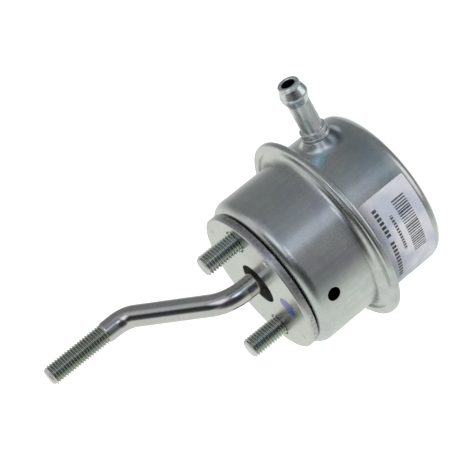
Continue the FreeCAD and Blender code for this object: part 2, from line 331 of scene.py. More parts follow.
def grain_group(grain: Grain) -> Tree:
    """The fine lines that a tool leaves: a mask from 0 to 1, and a height for a Bump node.

    Args:
        grain: Which tool made the surface.

    Returns:
        The group.
    """
    group = GroupBuilder(f"Grain, {grain.value}")
    where = group.take("Position", "Vector")
    x, y, z = group.axes(where)
    if grain is Grain.DRAWN:
        angle = group.calc("ARCTAN2", y, x)
        lines = group.point(group.calc("SINE", angle) * 22.0, group.calc("COSINE", angle) * 22.0, z * 60.0)
    elif grain is Grain.TURNED:
        lines = group.point(x * 4200.0, y * 90.0, z * 90.0)
    elif grain is Grain.WIRE:
        lines = group.mapped(where, (1800.0, 1800.0, 40.0), (0.91, 0.0, 0.0))
    else:
        lines = group.mapped(where, (60.0, 1400.0, 60.0), (0.0, 0.0, 0.5))
    mask = group.noise(lines, 1.0, 3.0, 0.6)
    group.give("Lines", "Float", group.ramp(mask, 0.3, 0.7, smooth=False))
    group.give("Height", "Float", mask)
    return group.tree


def rub_group() -> Tree:
    """A mask of the edges that handling and the plating barrel have polished.

    Returns:
        The group.
    """
    group = GroupBuilder("Edge rub")
    where = group.take("Position", "Vector")
    reach = group.take("Reach", "Float", 0.0004)
    soft = group.put("ShaderNodeBevel", {"Radius": reach}, samples=4)
    turn = group.vector("DOT_PRODUCT", group.put("ShaderNodeNewGeometry", {}, "Normal"), soft, out=1)
    patchy = group.ramp(group.noise(where, 500.0, 2.0), 0.35, 0.6, 0.5, 1.0)
    group.give("Mask", "Float", group.ramp(turn, 0.98, 0.8) * patchy)
    return group.tree


class Effects:
    """The shared shader groups, each built once."""

    def __init__(self) -> None:
        """Builds the groups."""
        self.film = film_group()
        self.marks = marks_group()
        self.rub = rub_group()
        self.grain = {grain: grain_group(grain) for grain in Grain}


# Finishes --------------------------------------------------------------------------------------


class MaterialBuilder(Nodes):
    """Starts a material with a Principled shader, and adds nodes to it."""

    def __init__(self, name: str) -> None:
        """Makes the material.

        Args:
            name: The material's name.
        """
        self.material = bpy.data.materials.new(name)
        self.material.use_nodes = True
        super().__init__(self.material.node_tree)
        self.shader = self.tree.nodes["Principled BSDF"]
        self.where = self.put("ShaderNodeTexCoord", {}, "Object")

    def place(self, group: Tree, **inputs: object) -> dict[str, Value]:
        """Adds one of the shared groups.

        Args:
            group: The group.
            inputs: Its inputs, with _ for a space. Position is filled in.

        Returns:
            Its outputs by name.
        """
        named = {key.replace("_", " "): value for key, value in inputs.items()}
        return self.outs("ShaderNodeGroup", {"Position": self.where, **named}, node_tree=group)

    def finish(self, colour: Value, roughness: Value, heights: Iterable[tuple[Value, float]],
               metallic: Value | float) -> Material:
        """Joins the results to the shader.

        Args:
            colour: The base colour.
            roughness: The roughness.
            heights: Heights, each with its depth in metres.
            metallic: How metallic it is.

        Returns:
            The material.
        """
        normal = {}
        for height, depth in heights:
            inputs = {"Height": height, "Distance": depth, "Strength": 1.0, **normal}
            normal = {"Normal": self.put("ShaderNodeBump", inputs)}
        results = {"Base Color": colour, "Roughness": roughness, "Metallic": metallic, **normal}
        for name, value in results.items():
            self.feed(self.shader.inputs[name], value)
        return self.material


Extra = Callable[[MaterialBuilder, Value], Value]


@dataclass(frozen=True)
class Plating:
    """Bright zinc plating on steel, or another bare metal."""

    name: str
    metal: Colour
    first_tint: Colour
    second_tint: Colour
    grain: Grain
    clouds: float = 55.0
    film: float = 0.5
    roughness: float = 0.2
    spread: float = 0.08
    scratches: float = 0.35
    grain_depth: float = 0.8e-6
    mark_depth: float = 4e-6
    rub: Colour = (0.86, 0.87, 0.88)
    rub_reach: float = 0.35
    cut_above: float | None = None

    def build(self, effects: Effects, extra: Extra | None = None) -> Material:
        """Makes the material.

        Args:
            effects: The shared groups.
            extra: Changes the colour further, for a finish with a local feature.

        Returns:
            The material.
        """
        made = MaterialBuilder(self.name)
        film = made.place(effects.film, Metal=self.metal, First_Tint=self.first_tint,
                          Second_Tint=self.second_tint, Clouds=self.clouds, Amount=self.film)
        marks = made.place(effects.marks, Roughness=self.roughness, Spread=self.spread,
                           Scratches=self.scratches)
        grain = made.place(effects.grain[self.grain])
        rub = made.place(effects.rub, Reach=self.rub_reach * MM)
        colour = made.tinted(film["Colour"], made.ramp(grain["Lines"], 0.0, 1.0, 0.93, 1.04, smooth=False))
        colour = made.blend(rub["Mask"] * 0.7, colour, self.rub)
        if extra is not None:
            colour = extra(made, colour)
        roughness = marks["Roughness"]
        if self.cut_above is not None:
            high, soft = made.axes(made.where)[2], 0.12
            cut = made.ramp(high, (self.cut_above - soft) * MM, (self.cut_above + soft) * MM)
            colour = made.blend(cut, colour, (0.90, 0.88, 0.86))
            roughness = made.calc("MAXIMUM", roughness, cut * 0.6)
        heights = ((marks["Height"], self.mark_depth), (grain["Height"], self.grain_depth))
        return made.finish(colour, roughness, heights, 1.0)


@dataclass(frozen=True)
class Rubber:
    """Moulded rubber with a fine matt skin."""

    name: str
    colour: Colour
    bloom: Colour
    roughness: float = 0.6

    def build(self, effects: Effects) -> Material:
        """Makes the material.

        Args:
            effects: The shared groups.

        Returns:
            The material.
        """
        made = MaterialBuilder(self.name)
        film = made.place(effects.film, Metal=self.colour, First_Tint=self.bloom, Second_Tint=self.colour,
                          Clouds=160.0, Amount=0.6)
        marks = made.place(effects.marks, Roughness=self.roughness, Spread=0.15, Scratches=0.2)
        skin = made.noise(made.where, 5000.0, 2.0)
        return made.finish(film["Colour"], marks["Roughness"], ((marks["Height"], 5e-6), (skin, 6e-6)), 0.0)


def root_shade(amount: float) -> Extra:
    """Painted shade, with some oily dirt, in the roots of a thread, which its mesh marks.

    Args:
        amount: How dark the roots are, from 0 to 1.

    Returns:
        What changes the colour.
    """
    def paint_root_shade(made: MaterialBuilder, colour: Value) -> Value:
        """Paints shade into the roots."""
        root = made.put("ShaderNodeAttribute", {}, "Fac", attribute_name=ROOT)
        # painted shade: the thread roots turn dark
        return made.blend(made.ramp(root, 0.2, 0.8) * amount, colour, (0.09, 0.10, 0.06))
    return paint_root_shade


PLATE_ZINC = Plating("Zinc, blanked plate", (0.66, 0.66, 0.62), (0.60, 0.68, 0.62), (0.68, 0.62, 0.64),
                     Grain.ROLLED, clouds=45.0, roughness=0.3, scratches=0.25, grain_depth=0.5e-6)
CAN_ZINC = Plating("Zinc, drawn can", (0.63, 0.64, 0.62), (0.50, 0.60, 0.57), (0.58, 0.52, 0.60),
                   Grain.DRAWN, clouds=32.0, film=0.45, roughness=0.26, spread=0.07, scratches=0.3)
STUD_ZINC = Plating("Zinc, rolled threads", (0.60, 0.63, 0.60), (0.50, 0.62, 0.60), (0.66, 0.60, 0.46),
                    Grain.ROLLED, clouds=110.0, film=0.55, roughness=0.17, spread=0.04, scratches=0.1,
                    grain_depth=0.3e-6, mark_depth=0.8e-6, rub_reach=0.12, cut_above=12.15)
ROD_ZINC = Plating("Zinc, bent rod", (0.62, 0.59, 0.57), (0.55, 0.59, 0.62), (0.64, 0.56, 0.58),
                   Grain.WIRE, clouds=70.0, film=0.5, roughness=0.1, spread=0.04, scratches=0.4)
ROD_THREAD_ZINC = Plating("Zinc, rod's rolled thread", (0.62, 0.63, 0.58), (0.50, 0.61, 0.56),
                          (0.66, 0.61, 0.44), Grain.ROLLED, clouds=120.0, film=0.6, roughness=0.16,
                          spread=0.04, scratches=0.1, grain_depth=0.3e-6, mark_depth=0.8e-6,
                          rub_reach=0.12, cut_above=63.5)
NIPPLE_ZINC = Plating("Zinc, turned nipple", (0.84, 0.85, 0.86), (0.68, 0.78, 0.80), (0.88, 0.82, 0.84),
                      Grain.TURNED, clouds=170.0, film=0.65, roughness=0.3, spread=0.16,
                      grain_depth=1.6e-6, mark_depth=1.5e-5)
INNER_STEEL = Plating("Steel, pressed inner parts", (0.45, 0.45, 0.44), (0.40, 0.41, 0.43),
                      (0.46, 0.43, 0.38), Grain.DRAWN, roughness=0.34)
SPRING_STEEL = Plating("Steel, phosphated spring wire", (0.16, 0.16, 0.17), (0.12, 0.13, 0.14),
                       (0.20, 0.18, 0.16), Grain.ROLLED, clouds=140.0, roughness=0.42)
BUSH_BRONZE = Plating("Bronze, sintered bush", (0.55, 0.38, 0.20), (0.46, 0.30, 0.16), (0.60, 0.44, 0.26),
                      Grain.ROLLED, clouds=300.0, roughness=0.5, spread=0.12, rub=(0.7, 0.52, 0.3))
SEAL_RUBBER = Rubber("Rubber, dust seal", (0.007, 0.015, 0.011), (0.014, 0.026, 0.020), 0.5)
DIAPHRAGM_RUBBER = Rubber("Rubber, diaphragm", (0.025, 0.024, 0.023), (0.05, 0.048, 0.044), 0.65)


# Meshes ----------------------------------------------------------------------------------------


def added(name: str, data: bpy.types.ID) -> Object:
    """Puts a new object in the scene.

    Args:
        name: The object's name.
        data: Its mesh, camera or light.

    Returns:
        The object.
    """
    item = bpy.data.objects.new(name, data)
    bpy.context.scene.collection.objects.link(item)
    return item


def settled(item: Object) -> bpy.types.Mesh:
    """Runs an object's modifiers and removes them.

    Args:
        item: The object.

    Returns:
        The mesh that they made.
    """
    graph = bpy.context.evaluated_depsgraph_get()
    mesh = bpy.data.meshes.new_from_object(item.evaluated_get(graph), depsgraph=graph)
    item.modifiers.clear()
    return mesh


def sheet(name: str, points: Sequence[Point], faces: Faces) -> bpy.types.Mesh:
    """Makes a mesh.

    Args:
        name: The mesh's name.
        points: Its corners, in millimetres.
        faces: The corner numbers of each face.

    Returns:
        The mesh.
    """
    mesh = bpy.data.meshes.new(name)
    mesh.from_pydata([Vector(p) * MM for p in points], [], faces)
    return mesh


def piece_of(name: str, mesh: bpy.types.Mesh, body: Body, crease: float = 40.0) -> Object:
    """Cleans a mesh, shades it and puts it on its body.

    Args:
        name: The piece's name.
        mesh: Its mesh, in place and in metres.
        body: The body that it rides on.
        crease: Edges sharper than this many degrees stay hard.

    Returns:
        The piece.
    """
    edit = bmesh.new()
    edit.from_mesh(mesh)
    bmesh.ops.remove_doubles(edit, verts=edit.verts, dist=1e-6)
    bmesh.ops.dissolve_degenerate(edit, edges=edit.edges, dist=1e-7)
    bmesh.ops.recalc_face_normals(edit, faces=edit.faces)
    for face in edit.faces:
        face.smooth = True
    edit.to_mesh(mesh)
    edit.free()
    mesh.set_sharp_from_angle(angle=math.radians(crease))
    piece = added(name, mesh)
    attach(piece, body.value)
    LOG.info("%s: %d faces", name, len(mesh.polygons))
    return piece


def clothe(piece: Object, material: Material) -> None:
    """Gives a piece or CAD node one material in all its slots.

    Args:
        piece: The object.
        material: The material.
    """
    if not piece.material_slots:
        piece.data.materials.append(material)
    for slot in piece.material_slots:
        slot.material = material
    LOG.info("%s: %s", piece.name, material.name)


def rounded(corners: Sequence[Point], step: float = 7.0) -> list[Pair]:
    """Points along a closed outline whose corners are rounded.

    Args:
        corners: (r, z, rounding radius) of each corner, in order.
        step: The largest turn between two points, in degrees.

    Returns:
        The outline's (r, z) points.
    """
    points = []
    for number, (r, z, rounding) in enumerate(corners):
        here = Vector((r, z))
        if rounding <= 0:
            points.append((r, z))
            continue
        back = (Vector(corners[number - 1][:2]) - here).normalized()
        ahead = (Vector(corners[(number + 1) % len(corners)][:2]) - here).normalized()
        half = back.angle(ahead) / 2
        reach = rounding / math.tan(half)
        centre = here + (back + ahead).normalized() * (rounding / math.sin(half))
        first, last = here + back * reach - centre, here + ahead * reach - centre
        sweep = first.angle(last)
        count = max(2, math.ceil(math.degrees(sweep) / step))
        for part in range(count + 1):
            share = part / count
            spoke = (first * math.sin((1 - share) * sweep) + last * math.sin(share * sweep)) / math.sin(sweep)
            points.append(tuple(centre + spoke))
    return points


def wrapped(sides: int, count: int) -> Faces:
    """Four-cornered faces between closed outlines that stand round an axis.

    Args:
        sides: How many outlines there are.
        count: Points on each.

    Returns:
        The faces.
    """
    faces = []
    for side in range(sides):
        here, over = side * count, (side + 1) % sides * count
        for number in range(count):
            after = (number + 1) % count
            faces.append([here + number, over + number, over + after, here + after])
    return faces


def turned_piece(name: str, corners: Sequence[Point], body: Body, sides: int,
                 centre: Pair = (0.0, 0.0)) -> Object:
    """A piece turned round an axis along Z.

    Args:
        name: The piece's name.
        corners: (r, z, rounding radius) of each corner, in millimetres.
        body: The body that it rides on.
        sides: Steps round the axis.
        centre: Where the axis stands, in x and y.

    Returns:
        The piece.
    """
    outline = rounded(corners)
    count = len(outline)
    points = []
    for side in range(sides):
        angle = math.tau * side / sides
        points += [(centre[0] + r * math.cos(angle), centre[1] + r * math.sin(angle), z) for r, z in outline]
    faces = [face for face in wrapped(sides, count)
             if max(outline[face[0] % count][0], outline[face[3] % count][0]) >= 1e-9]
    return piece_of(name, sheet(name, points, faces), body)


# Geometry Nodes --------------------------------------------------------------------------------


class GeometryBuilder(GroupBuilder):
    """Builds one geometry tree that makes a piece from its named inputs, in metres."""

    kind: str = "GeometryNodeTree"

    def __init__(self, name: str) -> None:
        """Starts a tree."""
        super().__init__(name)
        self.tree.interface.new_socket("Geometry", in_out="INPUT", socket_type="NodeSocketGeometry")

    def lengths(self, *names: str) -> list[Value]:
        """Adds inputs that each hold one number."""
        return [self.take(name, "Float") for name in names]

    def moved(self, geometry: Value, by: Value) -> Value:
        """Moves geometry."""
        return self.put("GeometryNodeTransform", {"Geometry": geometry, "Translation": by})

    def placed(self, geometry: Value, spot: Value) -> Value:
        """Puts each point on its spot."""
        return self.put("GeometryNodeSetPosition", {"Geometry": geometry, "Position": spot})

    def swept(self, path: Value, resolution: int, diameter: Value) -> Value:
        """Sweeps a round bar along a path and closes its ends.

        Args:
            path: The path.
            resolution: Points round the bar.
            diameter: The bar's diameter.

        Returns:
            The bar.
        """
        ring = self.put("GeometryNodeCurvePrimitiveCircle", {
            "Resolution": resolution, "Radius": diameter * 0.5})
        return self.put("GeometryNodeCurveToMesh", {"Curve": path, "Profile Curve": ring, "Fill Caps": True})

    def close(self, geometry: Value) -> Tree:
        """Ends the tree in Realize Instances and Set Material.

        Args:
            geometry: What the tree has made.

        Returns:
            The tree.
        """
        material = self.take("Material", "Material")
        real = self.put("GeometryNodeRealizeInstances", {"Geometry": geometry})
        self.give("Geometry", "Geometry", self.put(
            "GeometryNodeSetMaterial", {"Geometry": real, "Material": material}))
        return self.tree


def grown(name: str, tree: Tree, lengths: dict[str, float | Point], others: dict[str, object], body: Body,
          crease: float) -> Object:
    """Runs a geometry tree and keeps its result as a plain piece.

    Args:
        name: The piece's name.
        tree: The tree.
        lengths: Its lengths and places by name, in millimetres.
        others: Its other inputs by name.
        body: The body that the piece rides on.
        crease: Edges sharper than this many degrees stay hard.

    Returns:
        The piece.
    """
    host = added(f"{name}_host", bpy.data.meshes.new(f"{name}_host"))
    modifier = host.modifiers.new("made", "NODES")
    modifier.node_group = tree
    keys = {item.name: item.identifier for item in tree.interface.items_tree if item.in_out == "INPUT"}
    for key, value in {**{key: mm(value) for key, value in lengths.items()}, **others}.items():
        modifier[keys[key]] = value
    mesh = settled(host)
    mesh.name = name
    bpy.data.objects.remove(host)
    return piece_of(name, mesh, body, crease)


def thread_tree() -> Tree:
    """A rolled screw thread on a solid bar: a helical sheet of rows, with its ends filled.

    Returns:
        The tree. Its lengths are in metres.
    """
    made = GeometryBuilder("Rolled thread")
    foot = made.take("Foot", "Vector")
    diameter, pitch, depth, length, runout, chamfer, slope = made.lengths(
        "Diameter", "Pitch", "Depth", "Length", "Runout", "Chamfer", "Chamfer Slope")
    sides = made.take("Sides", "Int")
    rows_a_turn = 16.0
    turns = made.calc("CEIL", length / pitch) + 1.0
    grid = made.put("GeometryNodeMeshGrid", {
        "Size X": 1.0, "Size Y": 1.0, "Vertices X": sides + 1.0,
        "Vertices Y": turns * rows_a_turn + 1.0}, "Mesh")
    across, upward, _ = made.axes(made.put("GeometryNodeInputPosition", {}))
    around = across + 0.5
    advance = around * pitch
    height = (upward + 0.5) * (turns * pitch) - pitch + advance
    height = made.calc("MINIMUM", made.calc("MAXIMUM", height, 0.0), length)
    crest = made.calc("ABSOLUTE", made.calc("FRACT", (height - advance) / pitch + 4.0) * 2.0 - 1.0)
    groove = made.ramp(crest, 0.9, 0.18) * depth * made.ramp(height / runout, 0.0, 1.0)
    outside = diameter * 0.5
    cut = made.calc("MAXIMUM", height - length + chamfer, 0.0) * slope
    spot = made.turned(made.calc("MINIMUM", outside - groove, outside - cut), around * math.tau, height)
    # the groove depth is kept for the painted shade in the thread roots
    marked = made.put("GeometryNodeStoreNamedAttribute", {
        "Geometry": grid, "Name": ROOT, "Value": groove / depth})
    parts = [made.placed(marked, spot)]
    for size, level in ((outside, 0.0), (outside - chamfer * slope, length)):
        disc = made.put("GeometryNodeMeshCircle", {"Vertices": sides, "Radius": size},
                        fill_type="TRIANGLE_FAN")
        parts.append(made.moved(disc, made.point(0.0, 0.0, level)))
    join = made.node("GeometryNodeJoinGeometry", {})
    for part in parts:
        made.feed(join.inputs[0], part)
    joined = Value(made, join.outputs[0])
    sewn = made.put("GeometryNodeMergeByDistance", {"Geometry": joined, "Distance": 2e-6})
    return made.close(made.moved(sewn, foot))


def bent_bar_tree() -> Tree:
    """A round bar with two bends, swept along its centre line.

    Returns:
        The tree. Its lengths are in metres.
    """
    made = GeometryBuilder("Bent bar")
    stops = [made.take(name, "Vector") for name in ("Low End", "First Bend", "Second Bend", "High End")]
    first_radius, second_radius, diameter = made.lengths("First Radius", "Second Radius", "Diameter")
    line = made.put("GeometryNodeMeshLine", {"Count": len(stops)})
    index = made.put("GeometryNodeInputIndex", {})

    def chosen(kind: str, values: Sequence[object]) -> Value:
        """Picks one value for each point by its number.

        Args:
            kind: The values' type.
            values: One for each point, in order.

        Returns:
            The point's value.
        """
        node = made.node("GeometryNodeIndexSwitch", {}, data_type=kind)
        while len(node.index_switch_items) < len(values):
            node.index_switch_items.new()
        for number, value in enumerate((index, *values)):
            made.feed(node.inputs[number], value)
        return Value(made, node.outputs[0])

    path = made.put("GeometryNodeMeshToCurve", {"Mesh": made.placed(line, chosen("VECTOR", stops))})
    radii = chosen("FLOAT", (0.0, first_radius, second_radius, 0.0))
    path = made.put("GeometryNodeFilletCurve", {"Curve": path, "Count": 26, "Radius": radii}, mode="POLY")
    return made.close(made.swept(path, 64, diameter))


def coil_tree() -> Tree:
    """A compression spring with a closed turn at both ends.

    Returns:
        The tree. Its lengths are in metres.
    """
    made = GeometryBuilder("Coil spring")
    mean, wire, low, high, turns, closed = made.lengths(
        "Mean Radius", "Wire Diameter", "Low", "High", "Turns", "Closed Pitch")
    points_a_turn = 48.0
    line = made.put("GeometryNodeMeshLine", {"Count": turns * points_a_turn + 1.0})
    turn = made.put("GeometryNodeInputIndex", {}) / points_a_turn
    spare = high - low - turns * closed
    rise = turn * closed + made.ramp(turn, 1.0, turns - 1.0, smooth=False) * spare
    spots = made.turned(mean, turn * math.tau, rise + low)
    path = made.put("GeometryNodeMeshToCurve", {"Mesh": made.placed(line, spots)})
    return made.close(made.swept(path, 20, wire))


@dataclass(frozen=True)
class Thread:
    """A rolled M7 x 1 thread, as deep as the photograph shows it."""

    runout: float
    chamfer: float
    slope: float = 1.0
    diameter: float = 6.85
    pitch: float = 1.0
    depth: float = 0.6
    sides: int = 56

    def cut(self, name: str, tree: Tree, foot: Point, top: float, material: Material, body: Body) -> Object:
        """Makes a threaded bar.

        Args:
            name: The piece's name.
            tree: The thread tree.
            foot: Where the bar's axis starts.
            top: The height at which it ends.
            material: Its finish.
            body: The body that it rides on.

        Returns:
            The piece.
        """
        lengths = {"Foot": foot, "Diameter": self.diameter, "Pitch": self.pitch, "Depth": self.depth,
                   "Length": top - foot[2], "Runout": self.runout, "Chamfer": self.chamfer}
        others = {"Chamfer Slope": self.slope, "Sides": self.sides, "Material": material}
        return grown(name, tree, lengths, others, body, 50.0)


# The object's own pieces -----------------------------------------------------------------------


@dataclass
class MountingPlate:
    """The blanked disc that the studs stand in. The CAD node's shape is kept."""

    radius: float = 24.5

    def sheared(self, made: MaterialBuilder, colour: Value) -> Value:
        """Darkens the rim below its rolled-over corner, in blotches.

        Args:
            made: The material being built.
            colour: Its colour so far.

        Returns:
            The colour with the torn rim.
        """
        x, y, z = made.axes(made.where)
        reach = made.vector("LENGTH", made.point(x, y, 0.0), out=1)
        depth = z + (made.noise(made.where, 350.0, 3.0) - 0.5) * (0.9 * MM)
        on_rim = made.ramp(reach, (self.radius - 0.12) * MM, (self.radius - 0.02) * MM)
        torn = on_rim * made.ramp(depth, -0.7 * MM, -1.3 * MM)
        blotch = made.ramp(made.noise(made.where, 900.0, 4.0, 0.65), 0.35, 0.65, 0.25, 0.8)
        return made.blend(torn * blotch, colour, (0.26, 0.27, 0.28))

    def dress(self, effects: Effects) -> None:
        """Gives the plate its plated face and its sheared, mottled rim."""
        clothe(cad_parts["mounting_plate"], PLATE_ZINC.build(effects, self.sheared))


@dataclass
class Studs:
    """The two M7 studs, with rolled threads above a plain shank and a head."""

    thread: Thread = Thread(runout=0.4, chamfer=0.7)
    spacing: float = 35.0
    foot: float = -0.5
    top: float = 12.7
    shank: tuple[Point, ...] = (
        (0.0, -5.95, 0.0), (4.5, -5.95, 0.6), (4.5, -3.95, 0.15), (3.65, -3.95, 0.0), (3.65, -0.5, 0.1),
        (0.0, -0.5, 0.0))

    def build(self, effects: Effects, tree: Tree) -> None:
        """Makes both studs.

        Args:
            effects: The shared groups.
            tree: The thread tree.
        """
        material = STUD_ZINC.build(effects, root_shade(0.3))
        for side, node in ((1, "mounting_stud_nipple_side"), (-1, "mounting_stud_far_side")):
            x = side * self.spacing / 2
            foot = (x, 0.0, self.foot)
            threaded = self.thread.cut(f"{node}_thread", tree, foot, self.top, material, Body.HOUSING)
            shank = turned_piece(f"{node}_shank", self.shank, Body.HOUSING, 64, (x, 0.0))
            clothe(shank, material)
            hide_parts(node)


@dataclass
class ActuatorRod:
    """The cranked push rod with its threaded end."""

    thread: Thread = Thread(runout=1.6, chamfer=1.3, slope=0.75)
    diameter: float = 7.1
    off_axis: Pair = (0.8, 0.65)
    set_over: float = 30.75
    low: float = -44.7
    first_bend: float = 10.9
    second_bend: float = 34.1
    first_radius: float = 13.0
    second_radius: float = 8.5
    thread_start: float = 41.8
    top: float = 64.7
    bulge: float = 0.16
    bulge_reach: float = 4.5
    peen: tuple[Point, ...] = (
        (0.0, -50.7, 0.0), (4.5, -50.7, 0.5), (4.5, -49.4, 0.1), (2.3, -49.4, 0.0), (2.3, -44.7, 0.0),
        (0.0, -44.7, 0.0))

    def build(self, effects: Effects, bar: Tree, tree: Tree) -> None:
        """Makes the bent bar, its thread and the peened end inside the can.

        Args:
            effects: The shared groups.
            bar: The bent bar tree.
            tree: The thread tree.
        """
        material = ROD_ZINC.build(effects)
        start = (0.0, self.set_over, self.thread_start)
        shank = grown("actuator_rod_shank", bar, {
            "Low End": (*self.off_axis, self.low), "First Bend": (*self.off_axis, self.first_bend),
            "Second Bend": (0.0, self.set_over, self.second_bend), "High End": start,
            "First Radius": self.first_radius, "Second Radius": self.second_radius, "Diameter": self.diameter,
        }, {"Material": material}, Body.ROD, 40.0)
        self.swell(shank)
        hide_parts("actuator_rod")
        end = self.thread.cut("actuator_rod_thread", tree, start, self.top,
                              ROD_THREAD_ZINC.build(effects, root_shade(0.45)), Body.ROD)
        peen = turned_piece("actuator_rod_peen", self.peen, Body.ROD, 48)
        clothe(peen, material)

    def swell(self, shank: Object) -> None:
        """Thickens the bar a little at its second bend, as the bending tool leaves it.

        Args:
            shank: The bar.
        """
        centre = Vector((0.0, self.set_over - 1.0, self.second_bend + 0.6)) * MM
        limit = (self.set_over + self.diameter / 2) * MM
        for vertex in shank.data.vertices:
            share = math.exp(-((vertex.co - centre).length / (self.bulge_reach * MM))**2)
            vertex.co += vertex.normal * (self.bulge * MM * share)
            vertex.co.y = min(vertex.co.y, limit)


@dataclass(frozen=True)
class PaintedLightPatch:
    """A round, soft-edged patch of painted light on a can; one that multiplies is painted shade."""

    place: Point
    reach: float
    core: float
    amount: float
    colour: Colour
    way: str = "MIX"


@dataclass
class Cans:
    """The front can, and the rear can with its rolled rim and the boss under the nipple."""

    wall: float = 0.7
    radius: float = 27.15
    boss_top: float = 29.7
    boss_radius: float = 4.5
    boss_hole: float = 3.15
    boss_slope: float = 1.417
    boss_blend: float = 1.5
    boss_height: float = -39.0
    boss_lean: float = 2.9
    drill_radius: float = 4.3
    outline: tuple[Point, ...] = (
        (0.0, -51.7, 0.0), (27.15, -51.7, 2.8), (27.15, -29.15, 1.2), (32.75, -29.15, 0.95),
        (32.75, -26.65, 0.95), (30.15, -26.65, 0.0), (30.15, -27.35, 0.0), (32.05, -27.35, 0.25),
        (32.05, -28.45, 0.25), (26.45, -28.45, 1.9), (26.45, -51.0, 2.1), (0.0, -51.0, 0.0))
    painted_light_patches: tuple[PaintedLightPatch, ...] = (
        # painted reflection: teal on the wall below the boss
        PaintedLightPatch((26.3, -6.6, -33.0), 5.0, 1.0, 0.6, (0.30, 0.60, 0.72)),
        # painted shade: darker on the boss and the wall beside it
        PaintedLightPatch((29.6, -4.3, -41.7), 4.9, 2.4, 0.9, (0.34, 0.38, 0.42), "MULTIPLY"))

    def on_boss(self, height: float, reach: float, angle: float) -> Point:
        """A place given round the leaning axis of the nipple.

        Args:
            height: Distance along the nipple's axis, from the cans' axis.
            reach: Distance from the nipple's axis.
            angle: Direction round it, from Y towards Z.

        Returns:
            The place.
        """
        lean = math.radians(self.boss_lean)
        up = reach * math.sin(angle)
        low = self.boss_height - self.radius * math.tan(lean)
        return (height * math.cos(lean) - up * math.sin(lean), reach * math.cos(angle),
                low + height * math.sin(lean) + up * math.cos(lean))

    def wall_at(self, reach: float, angle: float) -> float:
        """The can's wall at a place round the nipple's axis.

        Args:
            reach: Distance from the nipple's axis.
            angle: Direction round it, from Y towards Z.

        Returns:
            How far along the nipple's axis the wall is.
        """
        lean = math.radians(self.boss_lean)
        wall = math.sqrt(self.radius**2 - (reach * math.cos(angle))**2)
        return (wall + reach * math.sin(angle) * math.sin(lean)) / math.cos(lean)

    def boss_at(self, reach: float, angle: float) -> float:
        """The boss's outer face, which runs into the can's wall in a soft curve.

        Args:
            reach: Distance from the nipple's axis.
            angle: Direction round it, from Y towards Z.

        Returns:
            How far along the nipple's axis the face is.
        """
        cone = min(self.boss_top, self.boss_top - self.boss_slope * (reach - self.boss_radius))
        wall = self.wall_at(reach, angle)
        overlap = max(self.boss_blend - abs(cone - wall), 0.0)
        height = max(cone, wall) + overlap**2 / (4 * self.boss_blend)
        return height if height - wall > 0.004 else wall - 0.08

    def boss(self) -> tuple[list[Point], Faces]:
        """The boss as a closed shell round the nipple's axis.

        Returns:
            Its points and faces.
        """
        edge, rounded_to, edge_end, inner_edge = 4.3, 4.6, 4.62, 3.8
        outer = [self.boss_hole, 3.9, 4.36, 4.44, 4.49, 4.54, edge_end]
        outer += [edge_end + 0.0725 * step for step in range(1, 57)]
        inner = [8.4, 6.4, 5.6, 5.0, 4.4, inner_edge, self.boss_hole]
        sides = 128
        points = []
        for side in range(sides):
            angle = math.tau * side / sides
            rings = []
            for reach in outer:
                height = self.boss_at(reach, angle)
                if edge < reach < rounded_to:
                    height -= 0.9 * (reach - edge) ** 2
                rings.append((reach, height))
            for reach in inner:
                cone = self.boss_top - self.wall - self.boss_slope * max(reach - inner_edge, 0.0)
                rings.append((reach, max(cone, self.wall_at(reach, angle) - 0.4)))
            points += [self.on_boss(height, reach, angle) for reach, height in rings]
        return points, [[face[0], *face[:0:-1]] for face in wrapped(sides, len(rings))]

    def build(self, effects: Effects) -> None:
        """Dresses the front can, and makes the rear can.

        Args:
            effects: The shared groups.
        """
        material = CAN_ZINC.build(effects, self.tints)
        clothe(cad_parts["front_can"], material)
        shell = turned_piece("rear_can_shell", self.outline, Body.HOUSING, 288)
        self.drill(shell)
        boss = piece_of("rear_can_boss", sheet("rear_can_boss", *self.boss()), Body.HOUSING, 50.0)
        for piece in (shell, boss):
            clothe(piece, material)
        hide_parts("rear_can")

    def tints(self, made: MaterialBuilder, colour: Value) -> Value:
        """A painted reflection and a painted shade by the boss, and painted shade towards the back.

        Args:
            made: The material being built.
            colour: Its colour so far.

        Returns:
            The colour with the painted light.
        """
        # painted reflection and painted shade from the patches
        for patch in self.painted_light_patches:
            away = made.distance(made.where, patch.place)
            share = made.ramp(away, patch.reach * MM, patch.core * MM) * patch.amount
            colour = made.blend(share, colour, patch.colour, patch.way)
        # painted shade: the rear can grows darker towards its back
        high = made.axes(made.where)[2]
        back = made.ramp(high, -34.0 * MM, -44.0 * MM) * made.ramp(high, -49.5 * MM, -46.0 * MM)
        return made.blend(back, colour, (0.76, 0.83, 0.87), "MULTIPLY")

    def drill(self, shell: Object) -> None:
        """Cuts the hole under the boss through the can's wall.

        Args:
            shell: The rear can.
        """
        drill = added("drill", bpy.data.meshes.new("drill"))
        edit = bmesh.new()
        turn = Matrix.Translation((self.radius * MM, 0.0, self.boss_height * MM)) @ Matrix.Rotation(
            math.radians(90.0 - self.boss_lean), 4, "Y")
        bmesh.ops.create_cone(edit, cap_ends=True, segments=64, radius1=self.drill_radius * MM,
                              radius2=self.drill_radius * MM, depth=8.0 * MM, matrix=turn)
        edit.to_mesh(drill.data)
        edit.free()
        cut = shell.modifiers.new("hole", "BOOLEAN")
        cut.object, cut.operation, cut.solver = drill, "DIFFERENCE", "EXACT"
        shell.data = settled(shell)
        bpy.data.objects.remove(drill)


